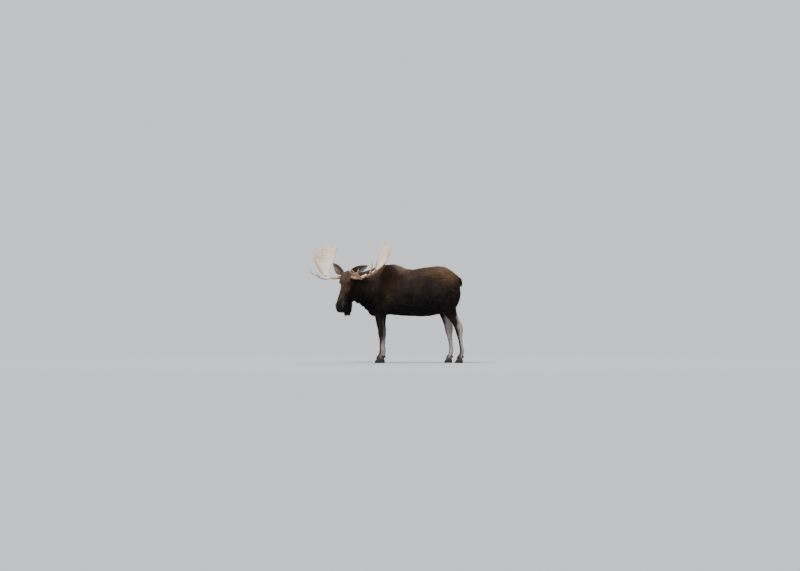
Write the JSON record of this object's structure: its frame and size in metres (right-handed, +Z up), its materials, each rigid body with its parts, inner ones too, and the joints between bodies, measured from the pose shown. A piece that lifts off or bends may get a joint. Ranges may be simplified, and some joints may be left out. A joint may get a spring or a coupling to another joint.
{
  "type": "bull moose figure",
  "caption": "Life-size still figure of a standing bull moose with its head turned to its left, antlers spread and a short bell under the throat.",
  "frame": {"origin": "middle of the underside of the whole model's box, on the floor that it stands on", "axes": "-Y towards the animal's front, +X towards its left side, +Z up"},
  "size_m": [1.369, 2.8786, 2.2167],
  "materials": {
    "dark_coat": "matte",
    "face_coat": "matte",
    "pale_leg_coat": "matte",
    "antler_bone": "matte",
    "hoof_horn": "satin",
    "eye_surface": "gloss"
  },
  "bodies": {
    "root": {"antler_left_beam": "antler_bone", "antler_left_brow_palm": "antler_bone", "antler_left_main_palm": "antler_bone", "antler_right_beam": "antler_bone", "antler_right_brow_palm": "antler_bone", "antler_right_main_palm": "antler_bone", "bell": "dark_coat", "ear_left": "face_coat", "ear_right": "face_coat", "eye_left": "eye_surface", "eye_right": "eye_surface", "fore_left_claw_inner": "hoof_horn", "fore_left_claw_outer": "hoof_horn", "fore_left_dewclaw_inner": "hoof_horn", "fore_left_dewclaw_outer": "hoof_horn", "fore_right_claw_inner": "hoof_horn", "fore_right_claw_outer": "hoof_horn", "fore_right_dewclaw_inner": "hoof_horn", "fore_right_dewclaw_outer": "hoof_horn", "foreleg_left_lower": "pale_leg_coat", "foreleg_left_upper": "dark_coat", "foreleg_right_lower": "pale_leg_coat", "foreleg_right_upper": "dark_coat", "head": "face_coat", "hind_left_claw_inner": "hoof_horn", "hind_left_claw_outer": "hoof_horn", "hind_left_dewclaw_inner": "hoof_horn", "hind_left_dewclaw_outer": "hoof_horn", "hind_right_claw_inner": "hoof_horn", "hind_right_claw_outer": "hoof_horn", "hind_right_dewclaw_inner": "hoof_horn", "hind_right_dewclaw_outer": "hoof_horn", "hindleg_left_lower": "pale_leg_coat", "hindleg_left_upper": "dark_coat", "hindleg_right_lower": "pale_leg_coat", "hindleg_right_upper": "dark_coat", "neck": "dark_coat", "tail": "dark_coat", "trunk": "dark_coat"}
  },
  "joints": []
}
